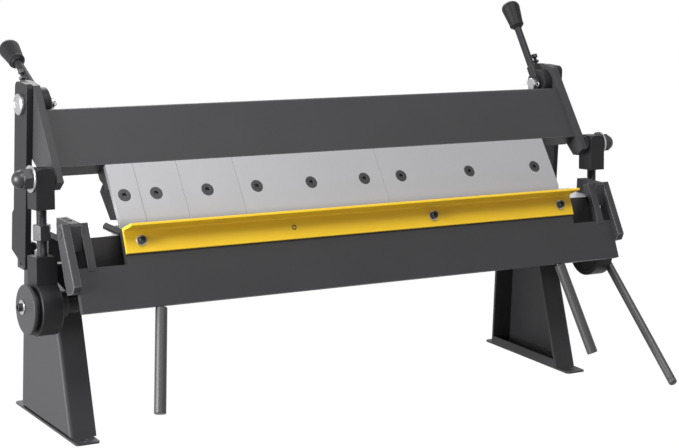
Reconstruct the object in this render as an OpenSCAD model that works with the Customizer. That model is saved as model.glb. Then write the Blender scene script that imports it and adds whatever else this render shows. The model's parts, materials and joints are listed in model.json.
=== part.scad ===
// Box and pan brake: a bench folder for sheet metal, with a row of clamped fingers.
// x runs along the fingers, y to the back, z up. The origin is on the bench, midway
// between the four foot holes. The apron stands part way through a bend.

/* [Overall] */
// Width of the whole row of fingers
work_w = 1020; // [850:10:1300]
// Height of the side stands
stand_h = 310; // [280:5:380]
// Length of each foot, front to back
foot_len = 300; // [270:5:360]

/* [Stands and bed] */
// Thickness of the stand's bent sheet
sheet_t = 6; // [4:1:8]
// Depth of the stand's flanges, towards the middle
flange_w = 54; // [40:1:70]
// Width of the foot plate
foot_w = 48; // [40:1:60]
// Thickness of the foot plate
foot_t = 6; // [4:1:10]
// Length of foot that shows in front of and behind the stand
toe = 32; // [26:1:40]
// Diameter of the holes that bolt the feet down
foot_hole_d = 13; // [9:0.5:16]
// Thickness of the side plates and upright columns
column_t = 12; // [10:1:14]
// Depth of a column, front to back
column_w = 59; // [50:1:66]
// Depth of the bed, front to back
bed_depth = 102; // [90:1:108]
// Height of the bed
bed_h = 46; // [36:1:54]
// Thickness of the hardened blade on the bed
blade_t = 11; // [8:1:14]

/* [Clamping beam] */
// Slope of the beam's face, in degrees back from upright
lean = 36; // [34:0.5:38]
// Height of the beam's face, along its slope
beam_h = 124; // [105:1:130]
// Thickness of the beam's plate
beam_t = 10; // [8:1:12]
// Depth of the flange under the beam
beam_flange = 39; // [36:1:44]
// Thickness of the beam's end plates
end_t = 14; // [12:1:14]
// Diameter of the pins that the beam swings on
pivot_d = 25; // [20:0.5:28]

/* [Fingers] */
// Share of the row that each finger fills, from the left
finger_shares = [0.054, 0.088, 0.118, 0.318, 0.422];
// Where the screws stand across each finger, as shares of its width
finger_screw_shares = [[0.42], [0.37], [0.42], [0.115, 0.49, 0.87], [0.106, 0.5, 0.893]];
// Thickness of a finger
finger_t = 10; // [8:0.5:12]
// Gap between neighbouring fingers
finger_gap = 0.6; // [0.3:0.1:1]
// Diameter of the finger screws' heads
finger_head_d = 26; // [20:1:28]

/* [Links and clamp shaft] */
// Outer diameter of the rings at the links' lower ends
ring_d = 100; // [92:1:104]
// Width of the rings
ring_w = 40.5; // [34:0.5:44]
// How far the eccentrics stand off the shaft's axis
throw = 11.8; // [9:0.1:13]
// Diameter of the eccentrics that the rings turn on
eccentric_d = 76; // [68:1:78]
// Diameter of the clamp shaft
shaft_d = 25; // [20:0.5:28]
// Diameter of the threaded rods in the links
link_rod_d = 20; // [14:1:24]
// Diameter of the clamp handle
handle_d = 18; // [14:1:20]
// Reach of the clamp handle from the shaft's axis
handle_len = 355; // [300:5:365]

/* [Apron] */
// Angle of the apron as it stands, in degrees from hanging upright
apron_angle = 24; // [20:1:26]
// Height of the apron's plate
apron_h = 147.5; // [130:0.5:155]
// Thickness of the apron's plate
apron_t = 12; // [10:1:14]
// Height of the angle bar's wall on the apron
bar_wall = 48; // [40:1:52]
// Reach of the angle bar's lip in front of its own back
bar_lip = 42; // [36:1:46]
// Thickness of the angle bar
bar_t = 5; // [4:0.5:6]
// Diameter of the apron's hinge pins
hinge_pin_d = 14; // [10:1:15]
// Diameter of the two apron handles
grip_d = 22; // [18:1:26]
// Length of the apron handles
grip_len = 194; // [150:1:220]

/* [Setback levers] */
// Diameter of the hubs beside the beam's pivots
hub_d = 58; // [50:1:58]
// Reach of a lever, from its pivot to the end of its knob
lever_len = 210; // [180:5:240]
// Diameter of the lever rods
lever_rod_d = 12; // [10:1:14]
// Largest diameter of the knobs
knob_d = 41; // [34:1:46]
// Angle of the left lever, in degrees back from upright
left_lever_angle = 64; // [40:1:75]
// Angle of the right lever, in degrees back from upright
right_lever_angle = 35; // [20:1:50]

/* [Fits] */
// Clearance round a pin or shaft that turns in its hole
run_gap = 0.05; // [0.02:0.01:0.1]
// Clearance round a part that is fixed in its hole
seat_gap = 0.04; // [0.02:0.01:0.1]
// Clearance between an eccentric and its ring
ring_gap = 0.4; // [0.3:0.05:0.6]
// Clearance between neighbours that slide past each other
side_gap = 0.5; // [0.3:0.1:1]
// Gap between the closed fingers and the blade
tip_gap = 0.3; // [0.2:0.1:1]

/* [Hidden] */

$fn = 48;
cut = 1;                      // how far a cutting shape overruns
tiny = 0.01;                  // overlap that fuses two shapes of one piece

// Colours
hammer_grey = [0.32, 0.32, 0.33];
dark_grey = [0.22, 0.22, 0.24];
black = [0.12, 0.12, 0.13];
bright = [0.82, 0.82, 0.84];
finger_grey = [0.72, 0.72, 0.74];
yellow = [0.93, 0.76, 0.12];

// Heights and depths that the whole machine hangs on, y from the front of the feet
side_margin = 85;             // from the outer face of a stand to the first finger
span = work_w + 2 * side_margin;
half = span / 2;
bed_rise = 76;                // from the top of the stands to the top of the bed
bed_top = stand_h + bed_rise;
blade_top = bed_top + blade_t;
bed_front = 8;
bed_rear = bed_front + bed_depth;
hinge_y = 6.3;
hinge_z = blade_top + 1;      // the axis lies one millimetre over the blade
stand_rear = foot_len - toe;
front_lean = 19.8;            // slope of the stand's front flange
pivot_rise = 209;             // from the top of the blade to the beam's pivots
pivot_z = blade_top + pivot_rise;
column_rear_gap = 36;         // from the back of a column to the back of the stand
column_rear = stand_rear - column_rear_gap;
column_front = column_rear - column_w;
pivot_y = column_rear - column_w / 2;
shaft_y = 67;
shaft_drop = 56;              // from the top of the stands down to the clamp shaft
shaft_z = stand_h - shaft_drop;

// Places across the machine, outwards from the outer face of a stand
column_x = 22;
column_out = column_x + column_t;
end_gap = 1;                  // between an end plate and the column
end_out = column_x - end_gap;
end_in = end_out - end_t;
ring_x = 25;
ring_out = ring_x + ring_w;
link_x = ring_x + ring_w / 2;
lug_x = 20;
lug_t = 16;

module at_side(side) {
    mirror([side < 0 ? 1 : 0, 0, 0]) translate([half, -foot_len / 2, 0]) children();
}

module at_middle() {
    translate([0, -foot_len / 2, 0]) children();
}

// Extrudes an outline drawn in depth and height, from x0 to x1
module slab(x0, x1) {
    translate([x0, 0, 0]) rotate([90, 0, 90]) linear_extrude(x1 - x0) children();
}

module rod_x(x0, x1, d) {
    translate([x0, 0, 0]) rotate([0, 90, 0]) cylinder(h = x1 - x0, d = d);
}

module hex_x(x0, x1, flats) {
    translate([x0, 0, 0]) rotate([0, 90, 0])
        cylinder(h = x1 - x0, d = flats / cos(30), $fn = 6);
}

// A rectangle with round corners, from its lower left corner
module round_rect(size, r) {
    translate([r, 0]) square([size[0] - 2 * r, size[1]]);
    translate([0, r]) square([size[0], size[1] - 2 * r]);
    for (x = [r, size[0] - r], y = [r, size[1] - r]) translate([x, y]) circle(r);
}

// Feet and stands
foot_corner = 6;
foot_inset = 16;              // from the end of a foot to the centre of its hole
stand_lip = 18;
stand_lip_t = 4;

function front_y(z) = toe + (z - foot_t) * tan(front_lean);

module foot(side) {
    color(hammer_grey) at_side(side) difference() {
        translate([-foot_w, 0, 0]) linear_extrude(foot_t)
            round_rect([foot_w, foot_len], foot_corner);
        for (y = [foot_inset, foot_len - foot_inset])
            translate([-foot_w / 2, y, -cut]) cylinder(h = foot_t + 2 * cut, d = foot_hole_d);
    }
}

module stand_outline(inset) {
    slant = inset / cos(front_lean);
    polygon([[front_y(foot_t + inset) + slant, foot_t + inset],
             [stand_rear - inset, foot_t + inset],
             [stand_rear - inset, stand_h - inset],
             [front_y(stand_h - inset) + slant, stand_h - inset]]);
}

module stand(side) {
    color(hammer_grey) at_side(side) {
        slab(-sheet_t, 0) stand_outline(0);
        slab(-flange_w, -sheet_t + tiny) difference() {
            stand_outline(0);
            stand_outline(sheet_t);
        }
        slab(-flange_w, -flange_w + stand_lip_t) intersection() {
            stand_outline(0);
            translate([0, foot_t]) square([foot_len, stand_lip]);
        }
    }
}

// Side plates, which carry the bed, the clamp shaft and the columns
bearing_d = 40;
cheek = 6;                    // metal round the bearing
cheek_r = bearing_d / 2 + cheek;
plate_to_column = 24;         // the side plate stops short of the column's back
side_plate_rear = column_rear - plate_to_column;
side_plate_drop = 25;         // below the clamp shaft's axis
side_plate_low = shaft_z - side_plate_drop;
side_plate_rise = 6;          // above the top of the stands
ear_gap = 2;                  // between the bed and the ear its bracket is fixed to
ear_front = bed_rear + ear_gap;
ear_w = 56;
ear_drop = 8;
ear_top = bed_top - ear_drop;

module side_plate(side) {
    top = stand_h + side_plate_rise;
    color(hammer_grey) at_side(side) difference() {
        slab(0, column_t) {
            translate([shaft_y, shaft_z]) circle(cheek_r);
            polygon([[shaft_y, side_plate_low], [side_plate_rear, side_plate_low],
                     [side_plate_rear, top], [ear_front + ear_w, top],
                     [ear_front + ear_w, ear_top], [ear_front, ear_top], [ear_front, top],
                     [shaft_y + cheek_r + bed_front, shaft_z + cheek_r + bed_front],
                     [shaft_y, shaft_z + cheek_r]]);
        }
        translate([0, shaft_y, shaft_z])
            rod_x(-cut, column_t + cut, bearing_d + 2 * seat_gap);
    }
}

bearing_in = 26;              // how far a bearing reaches inside its side plate
bearing_to_ring = 1.5;
bearing_out = ring_x - bearing_to_ring;

module shaft_bearing(side) {
    color(dark_grey) at_side(side) translate([0, shaft_y, shaft_z]) difference() {
        rod_x(-bearing_in, bearing_out, bearing_d);
        rod_x(-bearing_in - cut, bearing_out + cut, shaft_d + 2 * run_gap);
    }
}

// Columns
column_foot = 12;             // from the top of the stands down to the column's low corner
column_slope = 25;
column_step_high = 84;        // top of the wider stretch, above the stands
column_step = 8;
column_over = 41;             // above the beam's pivot
column_corner = 12;

module column(side) {
    low = stand_h - column_foot;
    top = pivot_z + column_over;
    color(hammer_grey) at_side(side) difference() {
        slab(column_x, column_out) {
            polygon([[column_front, low], [column_rear + column_step, low + column_slope],
                     [column_rear + column_step, stand_h + column_step_high],
                     [column_rear, stand_h + column_step_high + column_step],
                     [column_rear, top - column_corner],
                     [column_rear - column_corner, top], [column_front + column_corner, top],
                     [column_front, top - column_corner]]);
            for (y = [column_front + column_corner, column_rear - column_corner])
                translate([y, top - column_corner]) circle(column_corner);
        }
        translate([0, pivot_y, pivot_z])
            rod_x(column_x - cut, column_out + cut, pivot_d + 2 * seat_gap);
        for (z = column_bolt_heights)
            translate([0, column_bolt_y, z])
                rod_x(column_x - cut, column_out + cut, column_bolt_d + 2 * seat_gap);
    }
}

column_bolt_d = 10;
column_bolt_in = 8;           // from the back of a column to its bolts
column_bolt_y = column_rear - column_bolt_in;
column_bolt_rise = 19;        // over the top of the stands
stand_bolt_drop = 11;         // under it
spacer_gap = 1;
spacer_below = 22;            // under and over the top of the stands
spacer_above = 30;
column_bolt_heights = [stand_h + column_bolt_rise];
stand_bolt_heights = [stand_h - stand_bolt_drop];
spacer_front = side_plate_rear + spacer_gap;
spacer_low = stand_h - spacer_below;
spacer_high = stand_h + spacer_above;

module column_spacers() {
    color(hammer_grey) for (side = [-1, 1]) at_side(side) difference() {
        slab(0, column_x) translate([spacer_front, spacer_low])
            square([column_rear + column_step - spacer_front, spacer_high - spacer_low]);
        for (z = concat(column_bolt_heights, stand_bolt_heights))
            translate([0, column_bolt_y, z])
                rod_x(-cut, column_x + cut, column_bolt_d + 2 * seat_gap);
    }
}

// Bed, blade and brackets
bed_over = lug_x - side_gap;
bed_wall = 12;
blade_depth = 71;
blade_over = 5;               // past the outer fingers
blade_set = 0.5;              // the blade starts this far behind the hinge axis
blade_front = hinge_y + blade_set;
blade_chamfer = 6;

module bed() {
    color(black) at_middle() slab(-half - bed_over, half + bed_over) difference() {
        translate([bed_front, bed_top - bed_h]) square([bed_depth, bed_h]);
        translate([bed_front + bed_wall, bed_top - bed_h - cut])
            square([bed_depth - 2 * bed_wall, bed_h - bed_wall + cut]);
    }
}

module bed_blade() {
    reach = work_w / 2 + blade_over;
    color(bright) at_middle() translate([0, blade_front + blade_depth, 0]) rotate([90, 0, 0])
        linear_extrude(blade_depth)
            polygon([[-reach, bed_top], [reach, bed_top], [reach, blade_top - blade_chamfer],
                     [reach - blade_chamfer, blade_top], [-reach + blade_chamfer, blade_top],
                     [-reach, blade_top - blade_chamfer]]);
}

bracket_t = 10;
bracket_long = 50;
bracket_low = 34;             // the bracket's height

module bed_brackets() {
    color(hammer_grey) for (side = [-1, 1]) at_side(side)
        translate([0, bed_rear, ear_top - bracket_low]) {
            translate([-bracket_long, 0, 0]) cube([bracket_long, bracket_t, bracket_low]);
            translate([-bracket_t, 0, 0]) cube([bracket_t, bracket_long, bracket_low]);
        }
}

// Hinge blocks on the bed
block_r = hinge_z - bed_top - tiny;
block_in = 10;
block_out = 12;
block_rear = 60;
block_screw_d = 8;
block_screws = [28, 46];

module hinge_block(side) {
    color(hammer_grey) at_side(side) difference() {
        slab(-block_in, block_out) {
            translate([hinge_y, hinge_z]) circle(block_r);
            translate([hinge_y, hinge_z - block_r])
                square([block_rear - hinge_y, 2 * block_r]);
        }
        translate([0, hinge_y, hinge_z])
            rod_x(-block_in - cut, block_out + cut, hinge_pin_d + 2 * run_gap);
        for (y = block_screws) translate([(block_out - block_in) / 2, y, bed_top - cut])
            cylinder(h = 2 * block_r + 2 * cut, d = block_screw_d + 2 * seat_gap);
    }
}

// Shares of a socket screw's diameter
head_height_share = 0.8;
head_width_share = 1.5;
head_key_share = 0.8;
head_key_depth_share = 0.4;

// Socket screw with its head up, its seat at the origin
module socket_screw(d, length) {
    translate([0, 0, -length]) cylinder(h = length + tiny, d = d);
    difference() {
        cylinder(h = head_height_share * d, d = head_width_share * d);
        translate([0, 0, head_key_depth_share * d])
            cylinder(h = d, d = head_key_share * d / cos(30), $fn = 6);
    }
}

screw_grip = 10;

module frame_screws() {
    color(black) for (side = [-1, 1]) at_side(side) {
        for (y = block_screws)
            translate([(block_out - block_in) / 2, y, hinge_z + block_r])
                socket_screw(block_screw_d, 2 * block_r - tiny);
        for (z = column_bolt_heights) translate([column_out, column_bolt_y, z])
            rotate([0, 90, 0]) socket_screw(column_bolt_d, column_out);
        for (z = stand_bolt_heights) translate([column_x, column_bolt_y, z])
            rotate([0, 90, 0]) socket_screw(column_bolt_d, column_x);
    }
}

// Beam pivot pins, fixed in the columns
pin_head_d = 40;
pin_head_t = 8;
hub_in = 28;                  // where a lever hub's inner face lies
pin_past = 6;                 // how far a pin reaches past the hub
pin_end = hub_in + pin_past;
cotter_d = 4;
cotter_len = 44;
cotter_x = hub_in + pin_past / 2;

module pivot_pin(side) {
    color(bright) at_side(side) translate([0, pivot_y, pivot_z]) difference() {
        union() {
            rod_x(-pin_end, column_out + tiny, pivot_d);
            rod_x(column_out, column_out + pin_head_t, pin_head_d);
        }
        translate([-cotter_x, 0, -cotter_len])
            cylinder(h = 2 * cotter_len, d = cotter_d + 2 * seat_gap);
    }
}

module cotter_pins() {
    color(bright) for (side = [-1, 1]) at_side(side)
        translate([-cotter_x, pivot_y, pivot_z - cotter_len / 2]) cylinder(h = cotter_len, d = cotter_d);
}

// The beam's own plane: y runs behind its face, z up its slope from the hinge axis
beam_low = 131.6;
beam_bend = 10;
top_flange = 22;

module on_beam() {
    at_middle() translate([0, hinge_y, hinge_z]) rotate([-lean, 0, 0]) children();
}

module beam_plate() {
    reach = half + end_in;
    color(hammer_grey) on_beam() slab(-reach, reach) translate([0, beam_low]) {
        square([beam_t, beam_h - beam_bend]);
        translate([0, 0]) square([beam_flange, beam_t]);
        translate([beam_bend, beam_h - beam_bend]) circle(beam_bend);
        translate([beam_bend, beam_h - beam_t]) square([top_flange - beam_bend, beam_t]);
    }
}

// Outline of an end plate, in depth and height
end_r = 38;
end_proud = 8;
stud_y = 74;
stud_rise = 91;               // from the top of the blade to the link studs
stud_z = blade_top + stud_rise;
// Corners of an end plate behind the stud, from the stud's axis
end_corners = [[76, 5], [44, 1], [14, -25], [1, -24]];
end_neck = [23, 20];          // in front of the pivot, over the stud
end_heel_shares = [0.95, -0.32];  // behind the pivot, of the end's radius
end_nose = 7;                 // the plate's front corner lies this far below the stud
function face_y(z) = hinge_y + (z - hinge_z) * tan(lean) - end_proud / cos(lean);

module end_plate(side) {
    nose = stud_z - end_nose;
    color(hammer_grey) at_side(side) difference() {
        slab(end_in, end_out) {
            translate([pivot_y, pivot_z]) circle(end_r);
            polygon([[face_y(nose), nose], [face_y(pivot_z + end_r), pivot_z + end_r],
                     [pivot_y, pivot_z + end_r],
                     [pivot_y + end_heel_shares[0] * end_r, pivot_z + end_heel_shares[1] * end_r],
                     [pivot_y - end_neck[0], stud_z + end_neck[1]],
                     for (p = end_corners) [stud_y + p[0], stud_z + p[1]]]);
        }
        translate([0, pivot_y, pivot_z]) rod_x(0, end_out + cut, pivot_d + 2 * run_gap);
        translate([0, stud_y, stud_z]) rod_x(0, end_out + cut, stud_d + 2 * seat_gap);
    }
}

// Fingers, the rail behind them and their clamps
finger_top_gap = 0.4;
nose_start = 20;
nose_set = 7.8;               // setback of the tips behind the fingers' face
// Height along the slope at which a line b behind the face meets the tips' level
function tip_a(b) = (blade_top + tip_gap - hinge_z + b * sin(lean)) / cos(lean);

function finger_start(i) = i == 0 ? -work_w / 2 : finger_start(i - 1) + finger_shares[i - 1] * work_w;
function finger_w(i) = finger_shares[i] * work_w;

module finger_outline() {
    polygon([[0, nose_start], [0, beam_low - finger_top_gap], [finger_t, beam_low - finger_top_gap],
             [finger_t, tip_a(finger_t)], [nose_set, tip_a(nose_set)]]);
}

finger_screw_a = 66.5;
finger_screw_d = 12;
countersink = (finger_head_d - finger_screw_d) / 2;

module each_finger_screw(i) {
    for (share = finger_screw_shares[i])
        translate([finger_start(i) + share * finger_w(i), 0, finger_screw_a])
            rotate([-90, 0, 0]) children();
}

module screw_shape(gap, length) {
    translate([0, 0, -gap])
        cylinder(h = countersink + gap, d1 = finger_head_d + 2 * gap,
                 d2 = finger_screw_d + 2 * gap);
    cylinder(h = length, d = finger_screw_d + 2 * gap);
}

module finger(i) {
    color(finger_grey) on_beam() difference() {
        slab(finger_start(i) + finger_gap / 2, finger_start(i) + finger_w(i) - finger_gap / 2)
            finger_outline();
        each_finger_screw(i) screw_shape(seat_gap, finger_t + cut);
    }
}

rail_low = 88;
rail_seat = 0.3;
rail_depth = 31;              // the rail's lower part behind the beam's face
rail_step = [107, 119];       // where it widens to the depth of the beam's flange

module finger_rail() {
    color(bright) on_beam() slab(-work_w / 2 + finger_gap, work_w / 2 - finger_gap)
        polygon([[finger_t + rail_seat, rail_low], [rail_depth, rail_low],
                 [rail_depth, rail_step[0]],
                 [beam_flange, rail_step[1]], [beam_flange, beam_low - tiny],
                 [finger_t + rail_seat, beam_low - tiny]]);
}

clamp_depth = 50;
// Corners of a finger's clamp, in depth behind the fingers' face and height along them
clamp_corners = [[37, 35], [clamp_depth, 100], [33, 106],
                 [rail_depth + side_gap, rail_low - side_gap]];
clamp_low = 22;
screw_short = 8;              // the screws end this far inside the clamps
key_flats = 8;
key_depth = 5;

module finger_clamps() {
    color(dark_grey) on_beam() for (i = [0 : len(finger_shares) - 1]) difference() {
        slab(finger_start(i) + finger_gap, finger_start(i) + finger_w(i) - finger_gap)
            polygon([[finger_t, clamp_low], for (p = clamp_corners) p,
                     [finger_t, rail_low - side_gap]]);
        each_finger_screw(i) translate([0, 0, finger_t - cut])
            cylinder(h = clamp_depth, d = finger_screw_d + 2 * seat_gap);
    }
}

module finger_screws() {
    color(black) on_beam() for (i = [0 : len(finger_shares) - 1]) each_finger_screw(i)
        difference() {
            screw_shape(0, clamp_depth - screw_short);
            translate([0, 0, -cut])
                cylinder(h = key_depth + cut, d = key_flats / cos(30), $fn = 6);
        }
}

// Links: y across the link, z down it from the stud to the ring
stud_d = 19;
stud_collar = 8;              // thickness of the collar's wall on a stud
link_washer_d = 50;
link_washer_t = 3.2;
link_head_w = 36;
head_in = link_x - link_head_w / 2;
head_out = link_x + link_head_w / 2;
nut_flats = 36;
nut_t = 17;

dome_under = 1;               // the dome is this much smaller in radius than its nut

module link_stud(side) {
    nut_x = head_out + side_gap + link_washer_t;
    dome = nut_flats / 2;
    color(bright) at_side(side) translate([0, stud_y, stud_z]) {
        rod_x(end_in, nut_x + nut_t, stud_d);
        difference() {
            rod_x(end_out, head_in - side_gap, stud_d + 2 * stud_collar);
            rod_x(end_out - cut, head_in, stud_d + 2 * seat_gap);
        }
        difference() {
            rod_x(head_out + side_gap, nut_x, link_washer_d);
            rod_x(head_out, nut_x + cut, stud_d + 2 * seat_gap);
        }
        difference() {
            union() {
                hex_x(nut_x, nut_x + nut_t, nut_flats);
                translate([nut_x + nut_t, 0, 0]) intersection() {
                    sphere(dome - dome_under);
                    rod_x(-cut, dome, nut_flats);
                }
            }
            rod_x(nut_x - cut, nut_x + nut_t + tiny, stud_d + 2 * seat_gap);
        }
    }
}

ring_dip = 12.3;              // how far the eccentric points below straight ahead
ring_cy = shaft_y - throw * cos(ring_dip);
ring_cz = shaft_z - throw * sin(ring_dip);
link_len = sqrt(pow(stud_y - ring_cy, 2) + pow(stud_z - ring_cz, 2));
link_lean = atan2(stud_y - ring_cy, stud_z - ring_cz);
head_up = 19;
head_down = 56;
head_depth = 42;
head_cone = 1;                // the cone that chamfers a head starts this much over its depth
block_depth = 44;
block_up = 96;                // from the ring's centre to the top of the block over it

module on_link(side) {
    at_side(side) translate([0, stud_y, stud_z]) rotate([180 - link_lean, 0, 0]) children();
}

module link_head(side) {
    color(dark_grey) on_link(side) difference() {
        intersection() {
            translate([head_in, -head_depth / 2, -head_up])
                cube([link_head_w, head_depth, head_up + head_down]);
            translate([link_x, 0, -head_up])
                cylinder(h = head_up + head_down, r1 = head_depth / 2 + head_cone,
                         r2 = head_depth / 2 + head_cone + head_up + head_down);
        }
        rod_x(head_in - cut, head_out + cut, stud_d + 2 * run_gap);
        translate([link_x, 0, stud_d]) cylinder(h = head_down, d = link_rod_d + 2 * seat_gap);
    }
}

rod_start = 34;
rod_in = 30;                  // how far a rod reaches into the block over its ring
rod_nut_a = 84;
rod_nut_t = 29;
rod_nut_flats = 30;

module link_rod(side) {
    color(black) on_link(side) {
        translate([link_x, 0, rod_start])
            cylinder(h = link_len - block_up + rod_in - rod_start, d = link_rod_d);
        translate([link_x, 0, rod_nut_a]) difference() {
            cylinder(h = rod_nut_t, d = rod_nut_flats / cos(30), $fn = 6);
            translate([0, 0, -cut]) cylinder(h = rod_nut_t + 2 * cut, d = link_rod_d + 2 * seat_gap);
        }
    }
}

module link_ring(side) {
    color(dark_grey) on_link(side) difference() {
        union() {
            translate([0, 0, link_len]) rod_x(ring_x, ring_out, ring_d);
            translate([ring_x, -block_depth / 2, link_len - block_up])
                cube([ring_w, block_depth, block_up - ring_d / 4]);
        }
        translate([0, 0, link_len])
            rod_x(ring_x - cut, ring_out + cut, eccentric_d + 2 * ring_gap);
        translate([link_x, 0, link_len - block_up - cut])
            cylinder(h = rod_in + 2 * cut, d = link_rod_d + 2 * seat_gap);
    }
}

// Clamp shaft
cap_gap = 8.5;                // the groove between a ring and the cap
cap_x = ring_out + cap_gap;
cap_t = 6.5;
cap_d = 92;
hub_x = ring_out + 1;
handle_hub_t = 24;
handle_hub_d = 48;

module clamp_shaft() {
    color(bright) at_middle() translate([0, shaft_y, shaft_z])
        rod_x(-half - cap_x, half + hub_x + handle_hub_t - cut, shaft_d);
}

module eccentric(side) {
    out = side < 0 ? cap_x : hub_x;
    color(dark_grey) at_side(side) difference() {
        translate([0, ring_cy, ring_cz]) rod_x(ring_x - side_gap, out, eccentric_d);
        translate([0, shaft_y, shaft_z])
            rod_x(0, out + cut, shaft_d + 2 * seat_gap);
    }
}

end_screw_d = 10;

module left_cap() {
    color(bright) at_side(-1) difference() {
        translate([0, ring_cy, ring_cz]) rod_x(cap_x, cap_x + cap_t, cap_d);
        translate([0, shaft_y, shaft_z])
            rod_x(cap_x - cut, cap_x + cap_t + cut, end_screw_d + 2 * seat_gap);
    }
}

end_washer_d = 27;
end_washer_t = 2.5;

module shaft_end_screws() {
    for (side = [-1, 1]) at_side(side) translate([0, shaft_y, shaft_z]) {
        seat = side < 0 ? cap_x + cap_t : hub_x + handle_hub_t;
        root = side < 0 ? cap_x : hub_x + handle_hub_t - cut;
        color(bright) difference() {
            rod_x(seat, seat + end_washer_t, end_washer_d);
            rod_x(seat - cut, seat + end_washer_t + cut, end_screw_d + 2 * seat_gap);
        }
        color(black) translate([seat + end_washer_t, 0, 0]) rotate([0, 90, 0])
            socket_screw(end_screw_d, seat + end_washer_t - root);
    }
}

handle_dip = 42.3;            // angle of the clamp handle below straight ahead
handle_x = hub_x + handle_hub_t / 2;

module on_handle() {
    at_side(1) translate([handle_x, shaft_y, shaft_z]) rotate([180 - (90 - handle_dip), 0, 0])
        children();
}

handle_off = 2;               // the handle stops this far from the shaft
handle_seat = shaft_d / 2 + handle_off;

module handle_hub() {
    color(dark_grey) difference() {
        at_side(1) translate([0, shaft_y, shaft_z]) rod_x(hub_x, hub_x + handle_hub_t, handle_hub_d);
        at_side(1) translate([0, shaft_y, shaft_z])
            rod_x(hub_x - cut, hub_x + handle_hub_t - cut, shaft_d + 2 * seat_gap);
        at_side(1) translate([0, shaft_y, shaft_z])
            rod_x(hub_x, hub_x + handle_hub_t + cut, end_screw_d + 2 * seat_gap);
        on_handle() translate([0, 0, handle_seat])
            cylinder(h = handle_hub_d, d = handle_d + 2 * seat_gap);
    }
}

module clamp_handle() {
    color(black) on_handle() {
        translate([0, 0, handle_seat]) cylinder(h = handle_len - handle_d / 2 - handle_seat, d = handle_d);
        translate([0, 0, handle_len - handle_d / 2]) sphere(d = handle_d);
    }
}

// The apron's own plane: y runs in front of the hinge axis, z down the plate
plate_back = 0.6;
plate_top = 2.5;
notch_w = 100;
notch_h = 73;

module on_apron() {
    translate([0, hinge_y - foot_len / 2, hinge_z]) rotate([180 - apron_angle, 0, 0]) children();
}

bar_screw_a = 28;
bar_screw_d = 10;
bar_screw_margin = 32;        // from the end of the angle bar to its outer screws
bar_half = work_w / 2 + blade_over;
function bar_screw_x(i) = -bar_half + bar_screw_margin + i * 2 * (bar_half - bar_screw_margin) / 3;

module apron_plate() {
    plate_half = half + lug_x;
    color(hammer_grey) on_apron() difference() {
        translate([-plate_half, plate_back, plate_top]) cube([2 * plate_half, apron_t, apron_h]);
        for (x = [-plate_half - cut, plate_half - notch_w])
            translate([x, plate_back - cut, plate_top - cut])
                cube([notch_w + cut, apron_t + 2 * cut, notch_h - plate_top + cut]);
        for (i = [0 : 3]) translate([bar_screw_x(i), plate_back - cut, bar_screw_a])
            rotate([-90, 0, 0]) cylinder(h = apron_t + 2 * cut, d = bar_screw_d + 2 * seat_gap);
        for (x = [-grip_x, grip_x]) translate([x, plate_back + apron_t / 2, plate_top + apron_h])
            rotate([0, sign(x) * grip_splay, 0]) translate([0, 0, -grip_stud_len - cut])
                cylinder(h = grip_stud_len + 2 * cut, d = grip_stud_d + 2 * seat_gap);
    }
}

module apron_angle_bar() {
    color(yellow) on_apron() difference() {
        translate([0, plate_back + apron_t, plate_top]) slab(-bar_half, bar_half) {
            square([bar_t, bar_wall]);
            square([bar_lip, bar_t]);
        }
        for (i = [0 : 3]) translate([bar_screw_x(i), plate_back, bar_screw_a])
            rotate([-90, 0, 0]) cylinder(h = 2 * apron_t, d = bar_screw_d + 2 * seat_gap);
    }
}

bar_washer_d = 20;
bar_washer_t = 2;

module bar_screws() {
    on_apron() for (i = [0 : 3]) translate([bar_screw_x(i), plate_back + apron_t + bar_t, bar_screw_a])
        rotate([-90, 0, 0]) {
            if (i == 1) color(black) translate([0, 0, -bar_t - apron_t])
                cylinder(h = bar_t + apron_t, d = bar_screw_d);
            else {
                color(bright) difference() {
                    cylinder(h = bar_washer_t, d = bar_washer_d);
                    translate([0, 0, -cut])
                        cylinder(h = bar_washer_t + 2 * cut, d = bar_screw_d + 2 * seat_gap);
                }
                color(black) translate([0, 0, bar_washer_t])
                    socket_screw(bar_screw_d, bar_washer_t + bar_t + apron_t);
            }
        }
}

// Outline of an outer lug, in depth in front of the hinge axis and distance down the apron
outer_lug = [[-11, -22], [9, -22], [25, 104], [14, 114], [-8, 112], [-12, 85], [-13, 0]];

// Hinge lugs: the outer ones close the apron's ends, the inner ones stand in its notches
inner_lug_r = block_r - 1;
inner_foot_d = 12;            // the inner lug's round foot on the apron's face

module hinge_lugs(side) {
    color(hammer_grey) at_side(side)
        translate([0, hinge_y, hinge_z]) rotate([180 - apron_angle, 0, 0]) {
            difference() {
                slab(lug_x, lug_x + lug_t) polygon(outer_lug);
                rod_x(lug_x - cut, lug_x + lug_t + cut, hinge_pin_d + 2 * seat_gap);
            }
            difference() {
                slab(-block_in - side_gap - lug_t, -block_in - side_gap) {
                    circle(inner_lug_r);
                    translate([plate_back, 0]) square([apron_t, notch_h]);
                    polygon([[plate_back + apron_t - cut, inner_lug_r],
                             [plate_back + apron_t, inner_lug_r],
                             [plate_back + apron_t + inner_foot_d, notch_h - inner_foot_d],
                             [plate_back + apron_t + inner_foot_d, notch_h + inner_foot_d],
                             [plate_back + apron_t, notch_h + inner_foot_d],
                             [plate_back + apron_t, notch_h],
                             [plate_back + apron_t - cut, notch_h]]);
                    translate([plate_back + apron_t + inner_foot_d / 2, notch_h + inner_foot_d])
                        circle(d = inner_foot_d);
                }
                rod_x(-block_in - lug_t - cut, -block_in, hinge_pin_d + 2 * seat_gap);
            }
        }
}

pin_spacer = 3.5;             // thickness of the spacer's wall on a hinge pin
pin_cap_d = 26;
pin_cap_t = 3;

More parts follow.
